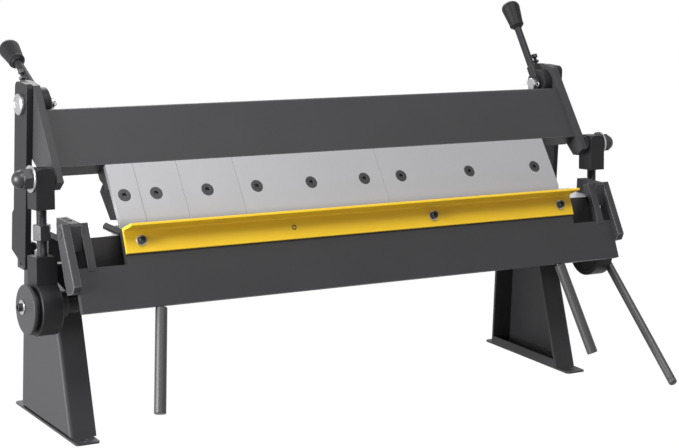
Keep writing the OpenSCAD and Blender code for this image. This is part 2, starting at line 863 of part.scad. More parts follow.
module hinge_pins() {
    color(bright) for (side = [-1, 1]) at_side(side) translate([0, hinge_y, hinge_z]) {
        rod_x(-block_in - side_gap - lug_t, lug_x + lug_t + tiny, hinge_pin_d);
        rod_x(lug_x + lug_t, lug_x + lug_t + pin_cap_t, pin_cap_d);
        rod_x(block_out + side_gap, lug_x, hinge_pin_d + 2 * pin_spacer);
    }
}

// Apron handles, screwed into the plate's lower edge and splayed outwards
grip_x = half - 136;
grip_splay = 10.8;
grip_stud_d = 8;
grip_stud_len = 18;

module apron_handle(side) {
    color(black) on_apron()
        translate([side * grip_x, plate_back + apron_t / 2, plate_top + apron_h])
            rotate([0, side * grip_splay, 0]) {
                translate([0, 0, -grip_stud_len]) cylinder(h = grip_stud_len + grip_d, d = grip_stud_d);
                translate([0, 0, grip_d * tan(grip_splay) / 2 + tiny]) cylinder(h = grip_len, d = grip_d);
            }
}

// Setback levers on the pivot pins
lever_x = -11;
boss_d = 22;
boss_proud = 14;              // the boss reaches this far out of the hub
boss_end = hub_d / 2 + boss_proud;
rod_clear = 4;                // from the pivot pin to the end of a rod
rod_seat = pivot_d / 2 + rod_clear;
adjuster_d = 8;
adjuster_turn = 28;
adjuster_len = 62;

function lever_angle(side) = side < 0 ? left_lever_angle : right_lever_angle;

module on_lever(side) {
    at_side(side) translate([0, pivot_y, pivot_z]) rotate([-lever_angle(side), 0, 0]) children();
}

module lever_hub(side) {
    color(dark_grey) on_lever(side) {
        difference() {
            union() {
                rod_x(-hub_in, end_in - side_gap, hub_d);
                translate([lever_x, 0, 0]) cylinder(h = boss_end, d = boss_d);
            }
            rod_x(-hub_in - cut, end_in, pivot_d + 2 * run_gap);
            translate([lever_x, 0, rod_seat]) cylinder(h = boss_end, d = lever_rod_d + 2 * seat_gap);
            rotate([-adjuster_turn, 0, 0]) translate([lever_x, 0, rod_seat])
                cylinder(h = hub_d, d = adjuster_d + 2 * seat_gap);
        }
        rotate([-adjuster_turn, 0, 0]) translate([lever_x, 0, rod_seat])
            cylinder(h = adjuster_len - rod_seat, d = adjuster_d);
    }
}

knob_len = 62;
knob_neck_d = 24;

module lever_rod(side) {
    color(bright) on_lever(side) translate([lever_x, 0, rod_seat])
        cylinder(h = lever_len - knob_len / 2 - rod_seat, d = lever_rod_d);
}

module lever_knob(side) {
    base = lever_len - knob_len;
    color(black) on_lever(side) translate([lever_x, 0, base]) difference() {
        rotate_extrude() {
            polygon([[0, 0], [knob_neck_d / 2, 0], [knob_d / 2, knob_len - knob_d / 2],
                     [0, knob_len - knob_d / 2]]);
            translate([0, knob_len - knob_d / 2]) intersection() {
                circle(d = knob_d);
                square(knob_d);
            }
        }
        translate([0, 0, -cut])
            cylinder(h = knob_len / 2 + cut, d = lever_rod_d + 2 * seat_gap);
    }
}

foot(-1);  // left_foot
foot(1);  // right_foot
stand(-1);  // left_stand
stand(1);  // right_stand
side_plate(-1);  // left_side_plate
side_plate(1);  // right_side_plate
column(-1);  // left_column
column(1);  // right_column
column_spacers();
bed();
bed_blade();
bed_brackets();
shaft_bearing(-1);  // left_shaft_bearing
shaft_bearing(1);  // right_shaft_bearing
hinge_block(-1);  // left_hinge_block
hinge_block(1);  // right_hinge_block
pivot_pin(-1);  // left_pivot_pin
pivot_pin(1);  // right_pivot_pin
cotter_pins();
frame_screws();
beam_plate();
end_plate(-1);  // left_end_plate
end_plate(1);  // right_end_plate
finger_rail();
finger(0);  // finger_1
finger(1);  // finger_2
finger(2);  // finger_3
finger(3);  // finger_4
finger(4);  // finger_5
finger_clamps();
finger_screws();
link_stud(-1);  // left_link_stud
link_stud(1);  // right_link_stud
link_head(-1);  // left_link_head
link_head(1);  // right_link_head
link_rod(-1);  // left_link_rod
link_rod(1);  // right_link_rod
link_ring(-1);  // left_link_ring
link_ring(1);  // right_link_ring
clamp_shaft();
eccentric(-1);  // left_eccentric
eccentric(1);  // right_eccentric
left_cap();
shaft_end_screws();
handle_hub();
clamp_handle();
apron_plate();
apron_angle_bar();
bar_screws();
hinge_lugs(-1);  // left_hinge_lugs
hinge_lugs(1);  // right_hinge_lugs
hinge_pins();
apron_handle(-1);  // left_apron_handle
apron_handle(1);  // right_apron_handle
lever_hub(-1);  // left_lever_hub
lever_hub(1);  // right_lever_hub
lever_rod(-1);  // left_lever_rod
lever_rod(1);  // right_lever_rod
lever_knob(-1);  // left_lever_knob
lever_knob(1);  // right_lever_knob
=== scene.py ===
import json
from math import atan2, cos, degrees, hypot, pi, radians, sin, sqrt, tan

import bpy
import bmesh
from mathutils import Matrix, Vector


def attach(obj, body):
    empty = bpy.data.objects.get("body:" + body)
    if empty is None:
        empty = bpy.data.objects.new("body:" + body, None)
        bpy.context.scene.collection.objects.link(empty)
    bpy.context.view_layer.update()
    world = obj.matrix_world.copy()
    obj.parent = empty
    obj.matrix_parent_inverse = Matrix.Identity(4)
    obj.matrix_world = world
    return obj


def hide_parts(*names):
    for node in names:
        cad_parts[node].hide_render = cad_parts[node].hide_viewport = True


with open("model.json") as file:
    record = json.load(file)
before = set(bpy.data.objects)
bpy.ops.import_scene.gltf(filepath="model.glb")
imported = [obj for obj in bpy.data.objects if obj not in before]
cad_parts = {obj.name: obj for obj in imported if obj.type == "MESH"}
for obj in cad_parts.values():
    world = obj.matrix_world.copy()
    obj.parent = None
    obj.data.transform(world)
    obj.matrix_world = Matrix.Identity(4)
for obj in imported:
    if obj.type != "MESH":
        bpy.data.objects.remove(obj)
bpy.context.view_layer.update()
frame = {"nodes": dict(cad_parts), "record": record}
nodes = frame["nodes"]
slotOf = {part["node"]: part["material_slot"] for part in frame["record"]["subparts"]}
print("frame loaded,", len(nodes), "nodes")

# Places in millimetres, as in the part's source: x outwards from a stand's outer face,
# y back from the front of the feet, z up from the floor
places = {
    "half": 595, "footMiddle": 150, "hingeY": 6.3, "hingeZ": 398, "lean": 36, "apronAngle": 24,
    "pivotY": 202.5, "pivotZ": 606, "studY": 74, "studZ": 488, "shaftY": 67, "shaftZ": 254,
    "throw": 11.8, "ringDip": 12.3, "handleDip": 42.3, "leverAngle": {-1: 64, 1: 35},
}
ringY = places["shaftY"] - places["throw"] * cos(radians(places["ringDip"]))
ringZ = places["shaftZ"] - places["throw"] * sin(radians(places["ringDip"]))
linkLength = sqrt((places["studY"] - ringY) ** 2 + (places["studZ"] - ringZ) ** 2)
linkLean = atan2(places["studY"] - ringY, places["studZ"] - ringZ)
sideName = {-1: "left", 1: "right"}


def spin(angle, axis="X"):
    return Matrix.Rotation(radians(angle), 4, axis)


def shift(x, y, z):
    return Matrix.Translation((x, y, z))


def atSide(side):
    return Matrix.Diagonal((side, 1, 1, 1)) @ shift(places["half"], -places["footMiddle"], 0)


onBeam = shift(0, places["hingeY"] - places["footMiddle"], places["hingeZ"]) @ spin(-places["lean"])
onApron = shift(0, places["hingeY"] - places["footMiddle"], places["hingeZ"]) @ spin(180 - places["apronAngle"])
alongX = spin(90, "Y")          # turns a piece made along z so that it lies along x
outlineToSide = Matrix(((0, 0, 1, 0), (1, 0, 0, 0), (0, 1, 0, 0), (0, 0, 0, 1)))


def onLink(side):
    return atSide(side) @ shift(0, places["studY"], places["studZ"]) @ spin(180 - degrees(linkLean))


def onLever(side):
    return atSide(side) @ shift(0, places["pivotY"], places["pivotZ"]) @ spin(-places["leverAngle"][side])


# Shader maths
class Wire:
    def __init__(self, finish, socket):
        self.finish, self.socket = finish, socket

    def maths(self, operation, first, second):
        return self.finish.node("Math", {"operation": operation}, {0: first, 1: second})

    def __add__(self, other):
        return self.maths("ADD", self, other)

    def __sub__(self, other):
        return self.maths("SUBTRACT", self, other)

    def __rsub__(self, other):
        return self.maths("SUBTRACT", other, self)

    def __mul__(self, other):
        return self.maths("MULTIPLY", self, other)

    __radd__ = __add__
    __rmul__ = __mul__


class Finish:
    def __init__(self, owner):
        self.owner = owner
        owner.use_nodes = True
        self.tree = owner.node_tree
        self.tree.nodes.clear()

    def node(self, kind, settings=None, inputs=None, output=0):
        made = self.tree.nodes.new("ShaderNode" + kind)
        for key, value in (settings or {}).items():
            if key == "stops":
                while len(made.color_ramp.elements) < len(value):
                    made.color_ramp.elements.new(0.5)
                for element, (place, level) in zip(made.color_ramp.elements, value):
                    element.position, element.color = place, (*[level] * 3, 1)
            else:
                setattr(made, key, value)
        for key, value in (inputs or {}).items():
            if isinstance(value, Wire):
                self.tree.links.new(value.socket, made.inputs[key])
            else:
                made.inputs[key].default_value = value
        return Wire(self, made.outputs[output]) if len(made.outputs) else None

    def ramp(self, value, stops):
        return self.node("ValToRGB", {"stops": stops}, {0: value})

    def mixed(self, factor, first, second):
        return self.node("Mix", {"data_type": "RGBA"}, {0: factor, 6: first, 7: second}, 2)

    def noise(self, where, scale, detail=3, rough=0.5):
        return self.node("TexNoise", None, {
            "Vector": where, "Scale": scale, "Detail": detail, "Roughness": rough})

    def stretched(self, where, scale):
        return self.node("Mapping", None, {"Vector": where, "Scale": scale})

    def bump(self, height, strength, distance):
        return self.node("Bump", None, {"Height": height, "Strength": strength, "Distance": distance})

    def surface(self, inputs):
        shader = self.node("BsdfPrincipled", None, inputs)
        self.node("OutputMaterial", None, {0: shader})
        return self.owner

    def seenDirectly(self):
        most = 0
        for kind in ("Is Camera Ray", "Is Glossy Ray", "Is Transmission Ray"):
            seen = self.node("LightPath", output=kind)
            most = self.node("Math", {"operation": "MAXIMUM"}, {0: most, 1: seen})
        return most


def tone(value):
    return (*value, 1)


def started(name):
    f = Finish(bpy.data.materials.new(name))
    return f, f.node("TexCoord", output=3)


# Lighter colour on bevelled edges, partly chips in the paint and partly a painted highlight on every edge: the
# chips' size, where they begin and how much they show
chipsAndEdgeSheen = {"scale": 260, "from": 0.42, "to": 0.62, "least": 0.4, "more": 0.45}


def paint(name, look):
    f, where = started(name)
    cloudy = f.noise(where, look["patch"], 4)
    grain = f.noise(where, look["grain"], 2)
    edgeSheenAndWear = f.node("Attribute", {"attribute_name": "edgeWear"}, output=2)
    chips = f.ramp(f.noise(where, chipsAndEdgeSheen["scale"], 4, 0.6), [(chipsAndEdgeSheen["from"], 0), (chipsAndEdgeSheen["to"], 1)])
    # Bevel faces take the rim colour: a painted highlight along every edge, with chips in the paint adding more
    edge = edgeSheenAndWear * (chips * chipsAndEdgeSheen["more"] + chipsAndEdgeSheen["least"]) * look["edge"]
    base = f.mixed(cloudy, tone(look["dark"]), tone(look["light"]))
    base = f.mixed(edge, base, tone(look["rim"]))
    return f.surface({
        "Base Color": base,
        "Roughness": cloudy * 0.12 + grain * 0.08 + (look["roughness"] - 0.1) - edge * 0.1,
        "Specular IOR Level": look["gloss"],
        "Normal": f.bump(grain * 0.7 + cloudy * 0.3, look["bump"], look["depth"])})


def steel(name, look):
    f, where = started(name)
    lines = f.noise(f.stretched(where, look["stretch"]), look["lines"], 4, 0.6)
    cloudy = f.noise(where, look["patch"], 3)
    edgeSheenAndWear = f.node("Attribute", {"attribute_name": "edgeWear"}, output=2)
    base = f.mixed(lines * 0.6 + cloudy * 0.4, tone(look["dark"]), tone(look["light"]))
    # Bevel faces take the lighter rim colour, a painted highlight along every edge
    base = f.mixed(edgeSheenAndWear * look["edge"], base, tone(look["rim"]))
    return f.surface({
        "Base Color": base, "Metallic": look["metal"],
        "Roughness": lines * 0.16 + cloudy * 0.1 + (look["roughness"] - 0.13),
        "Normal": f.bump(lines, look["bump"], look["depth"])})


def speckle(name, look):
    f, where = started(name)
    grain = f.noise(where, look["grain"], 5, 0.7)
    flecks = f.ramp(grain, [(0.45, 0), (0.68, 1)])
    cloudy = f.noise(where, look["patch"], 3)
    base = f.mixed(flecks * 0.8 + cloudy * 0.2, tone(look["dark"]), tone(look["light"]))
    return f.surface({
        "Base Color": base, "Roughness": flecks * 0.15 + look["roughness"], "Metallic": look["metal"],
        "Normal": f.bump(grain, look["bump"], look["depth"])})


# In each finish the rim colour is the lighter colour of bevelled edges: a painted highlight, with chips in the
# paints
finishes = {
    "grey_paint": paint("greyHammerPaint", {
        "dark": (0.031, 0.031, 0.033), "light": (0.040, 0.040, 0.043), "rim": (0.15, 0.15, 0.155), "edge": 0.8,
        "patch": 9, "grain": 700, "roughness": 0.5, "gloss": 0.2, "bump": 0.25, "depth": 0.0004}),
    "dark_steel": paint("darkCastPaint", {
        "dark": (0.008, 0.008, 0.009), "light": (0.014, 0.014, 0.016), "rim": (0.07, 0.07, 0.075), "edge": 0.7,
        "patch": 16, "grain": 480, "roughness": 0.48, "gloss": 0.2, "bump": 0.45, "depth": 0.0005}),
    "yellow_paint": paint("yellowBarPaint", {
        "dark": (0.80, 0.50, 0.012), "light": (0.88, 0.58, 0.018), "rim": (0.97, 0.80, 0.30), "edge": 0.6,
        "patch": 7, "grain": 620, "roughness": 0.42, "gloss": 0.5, "bump": 0.16, "depth": 0.0003}),
    "black_plastic": paint("blackKnobPlastic", {
        "dark": (0.008, 0.008, 0.009), "light": (0.014, 0.014, 0.015), "rim": (0.03, 0.03, 0.03), "edge": 0.5,
        "patch": 40, "grain": 900, "roughness": 0.5, "gloss": 0.15, "bump": 0.15, "depth": 0.0002}),
    "black_steel": steel("blackenedSteel", {
        "dark": (0.018, 0.018, 0.02), "light": (0.045, 0.045, 0.048), "rim": (0.2, 0.2, 0.21), "edge": 0.5,
        "stretch": (1, 1, 1), "lines": 320, "patch": 30, "metal": 0.55, "roughness": 0.42,
        "bump": 0.2, "depth": 0.0002}),
    "bright_steel": steel("zincPlate", {
        "dark": (0.34, 0.34, 0.355), "light": (0.46, 0.46, 0.475), "rim": (0.85, 0.85, 0.86), "edge": 0.8,
        "stretch": (1, 1, 1), "lines": 200, "patch": 30, "metal": 0.9, "roughness": 0.33,
        "bump": 0.12, "depth": 0.0002}),
    "finger_steel": steel("groundFingerSteel", {
        "dark": (0.27, 0.27, 0.285), "light": (0.34, 0.34, 0.355), "rim": (0.55, 0.55, 0.57), "edge": 0.5,
        "stretch": (9, 1, 1), "lines": 90, "patch": 6, "metal": 0.3, "roughness": 0.52,
        "bump": 0.1, "depth": 0.0002}),
    "blade_steel": steel("groundBladeSteel", {
        "dark": (0.42, 0.42, 0.44), "light": (0.66, 0.66, 0.68), "rim": (0.8, 0.8, 0.82), "edge": 0.6,
        "stretch": (0.2, 6, 1), "lines": 120, "patch": 8, "metal": 0.6, "roughness": 0.42,
        "bump": 0.2, "depth": 0.0002}),
    "speckled_paint": speckle("speckledGripPaint", {
        "dark": (0.022, 0.022, 0.023), "light": (0.048, 0.048, 0.047), "grain": 620, "patch": 22,
        "roughness": 0.42, "metal": 0.1, "bump": 0.35, "depth": 0.0004}),
}
print("finishes made,", len(finishes))


# Mesh helpers
def softEdges(bm, width, limit=28, steps=2):
    # Bevel faces are marked for the finishes' lighter rim colour, a painted highlight along the edges with
    # chips in the paints
    highlightAndWear = bm.faces.layers.float.get("edgeWear") or bm.faces.layers.float.new("edgeWear")
    sharp = [e for e in bm.edges if len(e.link_faces) == 2 and e.calc_face_angle(0) > radians(limit)]
    if sharp and width:
        made = bmesh.ops.bevel(bm, geom=sharp, offset=width, offset_type="OFFSET", segments=steps, profile=0.6,
                               affect="EDGES", clamp_overlap=True, loop_slide=True)
        for face in made["faces"]:
            face[highlightAndWear] = 1.0


def loft(bm, rings, matrix=None, loop=False):
    matrix = matrix or Matrix()
    made = [[bm.verts.new(matrix @ Vector(p)) for p in ring] for ring in rings]
    count = len(made[0])
    pairs = list(zip(made, made[1:])) + ([(made[-1], made[0])] if loop else [])
    for low, high in pairs:
        for i in range(count):
            bm.faces.new((low[i], low[(i + 1) % count], high[(i + 1) % count], high[i]))
    if not loop:
        bm.faces.new(list(reversed(made[0])))
        bm.faces.new(made[-1])


def ringPoints(z, radius, form="round", steps=48):
    points = []
    for i in range(steps):
        angle = 2 * pi * i / steps
        r = radius
        if form == "hex":
            turn = angle % (pi / 3) - pi / 6
            r = radius / cos(turn)
        elif form == "knurl":
            r = radius - (0.03 * radius if i % 2 else 0)
        points.append((r * cos(angle), r * sin(angle), z))
    return points


def turned(bm, profile, matrix=None, steps=64, loop=False):
    rings = [ringPoints(z, r, form[0] if form else "round", steps) for z, r, *form in profile]
    loft(bm, rings, matrix, loop)


def chamferedRod(length, radius, chamfer, start=0):
    return [(start, radius - chamfer), (start + chamfer, radius), (start + length - chamfer, radius),
            (start + length, radius - chamfer)]


def ringProfile(z0, z1, inner, outer, chamfer):
    return [(z0, inner + chamfer / 2), (z0, outer - chamfer), (z0 + chamfer, outer), (z1 - chamfer, outer),
            (z1, outer - chamfer), (z1, inner + chamfer / 2), (z1 - chamfer / 2, inner),
            (z0 + chamfer / 2, inner)]


def prism(bm, outline, low, high, matrix=None):
    loft(bm, [[(u, v, low) for u, v in outline], [(u, v, high) for u, v in outline]], matrix)


def joined(whole, part):
    spare = bpy.data.meshes.new("spare")
    part.to_mesh(spare)
    whole.from_mesh(spare)
    part.free()
    bpy.data.meshes.remove(spare)


def plate(bm, outline, bore, low, high, steps=48):
    y, z, radius = bore
    circle = [(y + radius * cos(2 * pi * i / steps), z + radius * sin(2 * pi * i / steps))
              for i in range(steps)]
    caps = {low: [], high: []}
    for edge in (outline, circle):
        rims = []
        for x in (low, high):
            rim = [bm.verts.new((x, *point)) for point in edge]
            caps[x] += [bm.edges.new((rim[i - 1], rim[i])) for i in range(len(rim))]
            rims.append(rim)
        for i in range(len(edge)):
            bm.faces.new((rims[0][i - 1], rims[0][i], rims[1][i], rims[1][i - 1]))
    for edges in caps.values():
        bmesh.ops.triangle_fill(bm, edges=edges, use_beauty=True)


def plug(bm, y, z, radius):
    walls = [f for f in bm.faces if abs(f.normal.x) < 0.1
             and all(hypot(v.co.y - y, v.co.z - z) < radius + 0.3 for v in f.verts)]
    bmesh.ops.delete(bm, geom=walls, context="FACES")
    bmesh.ops.holes_fill(bm, edges=[e for e in bm.edges if e.is_boundary], sides=0)


def bentCorner(centre, radius, start, end, steps=6):
    return [(centre[0] + radius * cos(radians(start + (end - start) * i / steps)),
             centre[1] + radius * sin(radians(start + (end - start) * i / steps))) for i in range(steps + 1)]


def socketScrew(bm, seat, size, length, matrix=None):
    head, radius = 0.8 * size, 0.75 * size
    key = 0.4 * size
    turned(bm, [(-length, 0.5 * size), (0, 0.5 * size), (0, radius - 0.3), (0.3, radius, "knurl"),
                (head - 0.08 * size, radius, "knurl"), (head, radius - 0.08 * size), (head, key * 1.22),
                (head - 0.05 * size, key, "hex"), (0.35 * head, key, "hex"), (0.3 * head, 0.2 * key)],
           (matrix or Matrix()) @ seat)


def shown(name, bm, body, replaced, slot=None, matrix=None, sharp=32):
    if matrix:
        bmesh.ops.transform(bm, matrix=matrix, verts=bm.verts)
    bmesh.ops.scale(bm, vec=(0.001, 0.001, 0.001), verts=bm.verts)
    bmesh.ops.recalc_face_normals(bm, faces=bm.faces)
    for face in bm.faces:
        face.smooth = True
    for edge in bm.edges:
        edge.smooth = len(edge.link_faces) == 2 and edge.calc_face_angle(0) < radians(sharp)
    mesh = bpy.data.meshes.new(name)
    bm.to_mesh(mesh)
    bm.free()
    piece = bpy.data.objects.new(name, mesh)
    bpy.context.scene.collection.objects.link(piece)
    slot = slot or slotOf[replaced[0]]
    mesh.materials.append(finishes[slot])
    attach(piece, body)
    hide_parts(*replaced)
    even = piece.modifiers.new("evenFlats", "WEIGHTED_NORMAL")
    even.keep_sharp = True
    even.weight = 100
    return piece


def camel(name):
    first, *rest = name.split("_")
    return first + "".join(word.capitalize() for word in rest)


# Faces that point up take light ground steel and all other faces keep black steel: a machined top, and painted
# shade on the sides and ends
def groundTopShadedSides(piece, finish="blade_steel"):
    piece.data.materials.append(finishes[finish])
    for face in piece.data.polygons:
        if face.normal.z > 0.9:
            face.material_index = 1


def softened(node, body, width, steps=2, slot=None):
    bm = bmesh.new()
    bm.from_mesh(nodes[node].data)
    bmesh.ops.scale(bm, vec=(1000, 1000, 1000), verts=bm.verts)
    bmesh.ops.remove_doubles(bm, verts=bm.verts, dist=0.002)
    for hole in closedHoles.get(node, ()):
        plug(bm, *hole)
    if node in reshaped:
        for vertex in bm.verts:
            vertex.co = reshaped[node](vertex.co)
    bmesh.ops.dissolve_limit(bm, angle_limit=radians(0.5), verts=bm.verts, edges=bm.edges)
    softEdges(bm, width, steps=steps)
    return shown(camel(node), bm, body, [node], slot)


bodyOf = {node: body for body, members in frame["record"]["behaviour"]["bodies"].items() for node in members}

# Where plain parts differ from the part's source: thinner feet, a deeper bed, shallower apron notches
# and end plates with a squared corner
fitted = {"footShare": 2 / 3, "bedLow": 341, "bedDeeper": 16, "notch": 73, "notchShallower": 4,
          "near": 0.5, "endRadius": 38, "endBack": 46, "endUp": 42, "endSquare": 6, "endNear": 0.6,
          "endLowShare": 0.4, "endFadeShare": 0.32}


def thinFoot(point):
    return Vector((point.x, point.y, point.z * fitted["footShare"]))


def deepBed(point):
    return Vector((point.x, point.y, point.z - (fitted["bedDeeper"] if point.z < fitted["bedLow"] else 0)))


def shallowNotch(point):
    local = onApron.inverted() @ point
    if abs(local.z - fitted["notch"]) < fitted["near"]:
        local.z -= fitted["notchShallower"]
    return onApron @ local


# The corner stands over the pivot and carries the adjusting screw
def squaredEnd(point):
    y, z = point.y + places["footMiddle"] - places["pivotY"], point.z - places["pivotZ"]
    reach = hypot(y, z)
    tooLow = z < -fitted["endLowShare"] * fitted["endRadius"]
    if abs(reach - fitted["endRadius"]) > fitted["endNear"] or y < -0.1 or tooLow:
        return point
    back, up, power = fitted["endBack"], fitted["endUp"], fitted["endSquare"]
    if z >= 0:
        new = (abs(y / reach / back) ** power + abs(z / reach / up) ** power) ** (-1 / power)
    else:
        new = reach + (back - reach) * max(0, 1 + z / (fitted["endFadeShare"] * reach))
    grown = (new - reach) / reach
    return Vector((point.x, point.y + y * grown, point.z + z * grown))


reshaped = {"left_foot": thinFoot, "right_foot": thinFoot, "bed": deepBed, "apron_plate": shallowNotch,
            "left_end_plate": squaredEnd, "right_end_plate": squaredEnd}
# Blind holes of studs and bolts, whose far ends don't show: y, z and radius
studHole, boltHole = (-76, 488, 9.54), (74, 329, 5.04)
closedHoles = {"left_end_plate": [studHole], "right_end_plate": [studHole],
               "left_column": [boltHole], "right_column": [boltHole]}

# Plain parts with rounded edges
edgeWidths = {
    "left_foot": 0.8, "right_foot": 0.8, "left_side_plate": 1.2, "right_side_plate": 1.2,
    "left_column": 1.5, "right_column": 1.5, "column_spacers": 1.0, "bed": 1.2, "bed_blade": 0.5,
    "bed_brackets": 1.0, "beam_plate": 1.2, "left_end_plate": 1.6, "right_end_plate": 1.6, "finger_rail": 0.6,
    "finger_1": 0.4, "finger_2": 0.4, "finger_3": 0.4, "finger_4": 0.4, "finger_5": 0.4, "finger_clamps": 1.2,
    "left_link_head": 1.2, "right_link_head": 1.2, "apron_plate": 1.2,
}
otherFinish = {"finger_rail": "grey_paint", "left_column": "dark_steel", "right_column": "dark_steel"}
for node, width in edgeWidths.items():
    piece = softened(node, bodyOf[node], width, steps=3 if width > 1.4 else 2, slot=otherFinish.get(node))
    # Bed and blade are black steel with a light top; their dark sides and ends are partly painted shade
    if node in ("bed", "bed_blade"):
        piece.data.materials[0] = finishes["black_steel"]
        groundTopShadedSides(piece)
print("plain parts softened,", len(edgeWidths))

# Stands bent from sheet
stand = {"sheet": 6, "bend": 3, "flange": 54, "low": 4, "high": 310, "front": 31.3, "rear": 268, "lean": 19.8,
         "edge": 0.8, "lip": 18, "lipThickness": 4, "lipGap": 1, "lipInset": 0.3, "lipEdge": 0.7}


def inset(outline, distance):
    lines = []
    count = len(outline)
    for i in range(count):
        a, b = Vector(outline[i]), Vector(outline[(i + 1) % count])
        along = (b - a).normalized()
        lines.append((a + Vector((-along.y, along.x)) * distance, along))
    corners = []
    for i in range(count):
        (p, d), (q, e) = lines[i - 1], lines[i]
        t = ((q.x - p.x) * e.y - (q.y - p.y) * e.x) / (d.x * e.y - d.y * e.x)
        corners.append(tuple(p + d * t))
    return corners


def standFront(z):
    return stand["front"] + (z - stand["low"]) * tan(radians(stand["lean"]))


for side in (-1, 1):
    outline = [(standFront(stand["low"]), stand["low"]), (stand["rear"], stand["low"]),
               (stand["rear"], stand["high"]), (standFront(stand["high"]), stand["high"])]
    outer, edge, end = stand["sheet"] + stand["bend"], stand["edge"], -stand["flange"]
    path = [(outer * (1 - sin(radians(a))), -outer * (1 - cos(radians(a)))) for a in range(0, 91, 15)]
    path += [(0, end + edge), (edge, end), (stand["sheet"] - edge, end), (stand["sheet"], end + edge)]
    path += [(outer - stand["bend"] * sin(radians(a)), -outer + stand["bend"] * cos(radians(a)))
             for a in range(90, -1, -30)]
    bm = bmesh.new()
    loft(bm, [[(x, y, z) for y, z in inset(outline, back)] for back, x in path], atSide(side))
    gap = stand["lipGap"]
    lipLow, lipHigh, rear = stand["low"] + gap, stand["low"] + stand["lip"], stand["rear"] - gap
    lip = [(standFront(lipLow) + gap, lipLow), (rear, lipLow), (rear, lipHigh),
           (standFront(lipHigh) + gap, lipHigh)]
    x = end + stand["lipInset"]
    strip = bmesh.new()
    prism(strip, lip, x, x + stand["lipThickness"], outlineToSide)
    softEdges(strip, stand["lipEdge"])
    bmesh.ops.transform(strip, matrix=atSide(side), verts=strip.verts)
    joined(bm, strip)
    shown(sideName[side] + "Stand", bm, "frame", [sideName[side] + "_stand"])
print("stands bent")

# Turned parts of the frame
pin = {"radius": 12.5, "head": 20, "headThickness": 8, "columnOut": 34, "end": 30, "cotterX": 26.5}
for side in (-1, 1):
    pivot = atSide(side) @ shift(0, places["pivotY"], places["pivotZ"]) @ alongX
    bm = bmesh.new()
    out, end = pin["columnOut"], pin["columnOut"] + pin["headThickness"]
    r, head = pin["radius"], pin["head"]
    turned(bm, [(-pin["end"], r - 1.5), (-pin["end"] + 1.5, r), (out, r), (out, head - 0.8), (out + 0.8, head),
                (end - 2.5, head), (end - 0.4, head - 2.2), (end, head - 3.2), (end, head - 6),
                (end - 1.2, head - 7.2)], pivot)
    shown(sideName[side] + "PivotPin", bm, "frame", [sideName[side] + "_pivot_pin"])

bearing = {"radius": 20, "in": 26, "out": 23.5, "bore": 12.6}
for side in (-1, 1):
    bm = bmesh.new()
    turned(bm, ringProfile(-bearing["in"], bearing["out"], bearing["bore"], bearing["radius"], 1.2),
           atSide(side) @ shift(0, places["shaftY"], places["shaftZ"]) @ alongX, loop=True)
    shown(sideName[side] + "ShaftBearing", bm, "frame", [sideName[side] + "_shaft_bearing"])

# Split pins: an eye and two legs; each leg's points are its side step and how far they lie past the pin
cotter = {"wire": 1.7, "eye": 4.2, "eyeCentre": 5.5, "eyeGap": 1.15, "legGap": 0.95, "neck": 3, "turn": 85,
          "longLeg": [(-0.95, 3), (-1.8, 14), (-4, 24)], "shortLeg": [(9, 6.5), (4, 5), (0.95, 3)]}


def tube(bm, points, radius, matrix, steps=10):
    rings = []
    points = [Vector(p) for p in points]
    for i, point in enumerate(points):
        ahead = (points[min(i + 1, len(points) - 1)] - points[max(i - 1, 0)]).normalized()
        side = ahead.cross(Vector((1, 0, 0.001))).normalized()
        up = side.cross(ahead)
        rings.append([point + side * radius * cos(2 * pi * k / steps)
                      + up * radius * sin(2 * pi * k / steps) for k in range(steps)])
    loft(bm, rings, matrix)


bm = bmesh.new()
for side in (-1, 1):
    seat = atSide(side) @ shift(-pin["cotterX"], places["pivotY"], places["pivotZ"]) @ spin(cotter["turn"])
    high, e = pin["radius"] + cotter["neck"], cotter["eye"]
    eye = [(0, e * sin(radians(a)), high + cotter["eyeCentre"] - e * cos(radians(a)))
           for a in range(30, 331, 20)]
    eye = [(0, cotter["eyeGap"], high)] + eye + [(0, -cotter["eyeGap"], high)]
    long, short = [[(0, y, -pin["radius"] - past) for y, past in cotter[leg]]
                   for leg in ("longLeg", "shortLeg")]
    wire = short + [(0, cotter["legGap"], 0)] + eye + [(0, -cotter["legGap"], 0)] + long
    tube(bm, wire, cotter["wire"] / 2, seat)
shown("cotterPins", bm, "frame", ["cotter_pins"])

hingeBlock = {"in": -1, "out": 19.5, "front": -5.7, "low": 366, "bedFront": 7.8, "seat": 386.2, "rear": 60,
              "top": 416, "slope": 4, "bore": 7.06, "edge": 0.9}
h = hingeBlock
for side in (-1, 1):
    bm = bmesh.new()
    plate(bm, [(h["front"], h["low"]), (h["bedFront"], h["low"]), (h["bedFront"], h["seat"]),
               (h["rear"], h["seat"]), (h["rear"], h["top"]), (h["front"] + h["slope"], h["top"]),
               (h["front"], h["top"] - h["slope"])],
          (places["hingeY"], places["hingeZ"], h["bore"]), h["in"], h["out"])
    bmesh.ops.dissolve_limit(bm, angle_limit=radians(0.5), verts=bm.verts, edges=bm.edges)
    softEdges(bm, h["edge"], steps=3)
    shown(sideName[side] + "HingeBlock", bm, "frame", [sideName[side] + "_hinge_block"],
          matrix=atSide(side))

blockScrew = {"places": (28, 46), "x": 9.3, "sunk": 5, "size": 8, "length": 20}
columnScrew = {"y": 224, "upper": 329, "upperLength": 30, "lower": 299, "lowerLength": 20, "size": 10}
bm = bmesh.new()
for side in (-1, 1):
    for y in blockScrew["places"]:
        socketScrew(bm, shift(blockScrew["x"], y, hingeBlock["top"] - blockScrew["sunk"]), blockScrew["size"],
                    blockScrew["length"], atSide(side))
    for level, x in (("upper", 0), ("lower", -stand["sheet"])):
        socketScrew(bm, shift(x, columnScrew["y"], columnScrew[level]) @ spin(-90, "Y"), columnScrew["size"],
                    columnScrew[level + "Length"], atSide(side))
shown("frameScrews", bm, "frame", ["frame_screws"])
print("frame turned parts made")

